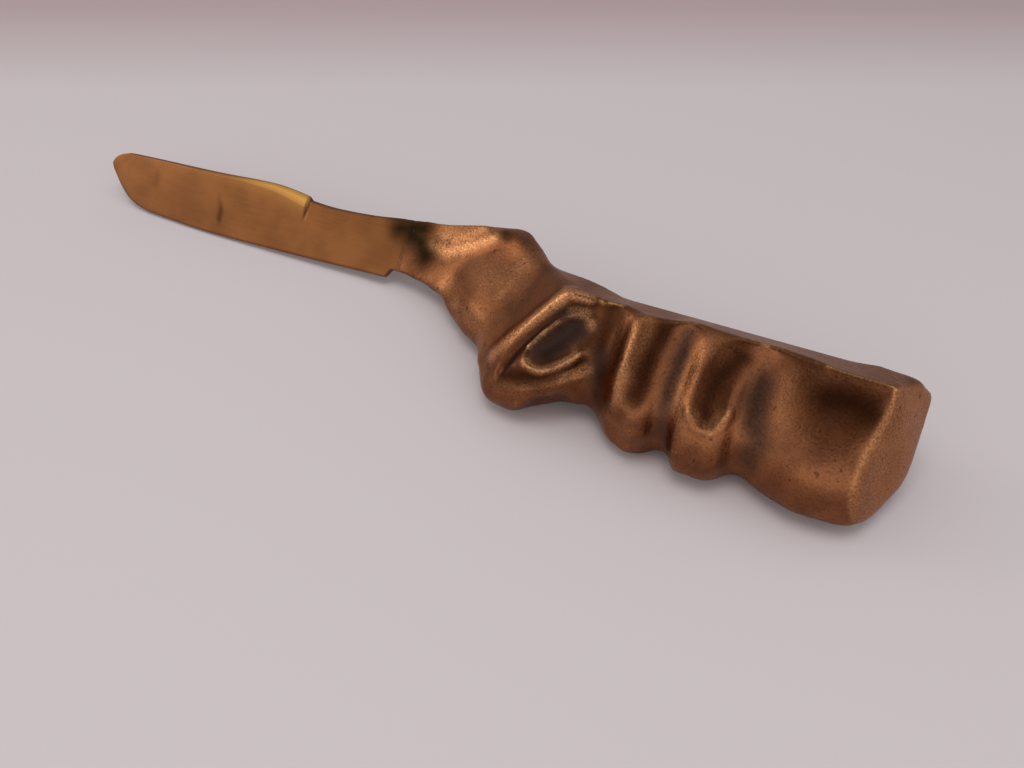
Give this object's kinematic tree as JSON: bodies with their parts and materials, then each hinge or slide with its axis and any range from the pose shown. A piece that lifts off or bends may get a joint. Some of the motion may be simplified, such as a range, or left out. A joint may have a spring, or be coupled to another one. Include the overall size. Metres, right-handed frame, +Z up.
{
  "type": "letter opener",
  "caption": "Cast bronze letter opener: a squeezed, finger-grooved grip with a cranked neck, and a flat round-tipped blade whose hidden tang is pinned and brazed into the neck.",
  "frame": {"origin": "on the table, under the middle of the object as it lies at rest", "axes": "+X from the blade's tip to the butt of the grip, +Y from the finger grooves to the back, +Z up"},
  "size_m": [0.2331, 0.0506, 0.0275],
  "materials": {
    "bronze_casting": "dark patinated bronze casting, worn bright on ridges and edges",
    "satin_blade": "golden bronze, filed and brushed to a satin face",
    "pin_bronze": "filed flush and patinated with the casting",
    "braze": "thin bead of braze, wiped smooth"
  },
  "bodies": {
    "root": {"handle_casting": "bronze_casting", "blade": "satin_blade", "tang_pins": "pin_bronze", "braze_seam": "braze"}
  },
  "joints": []
}
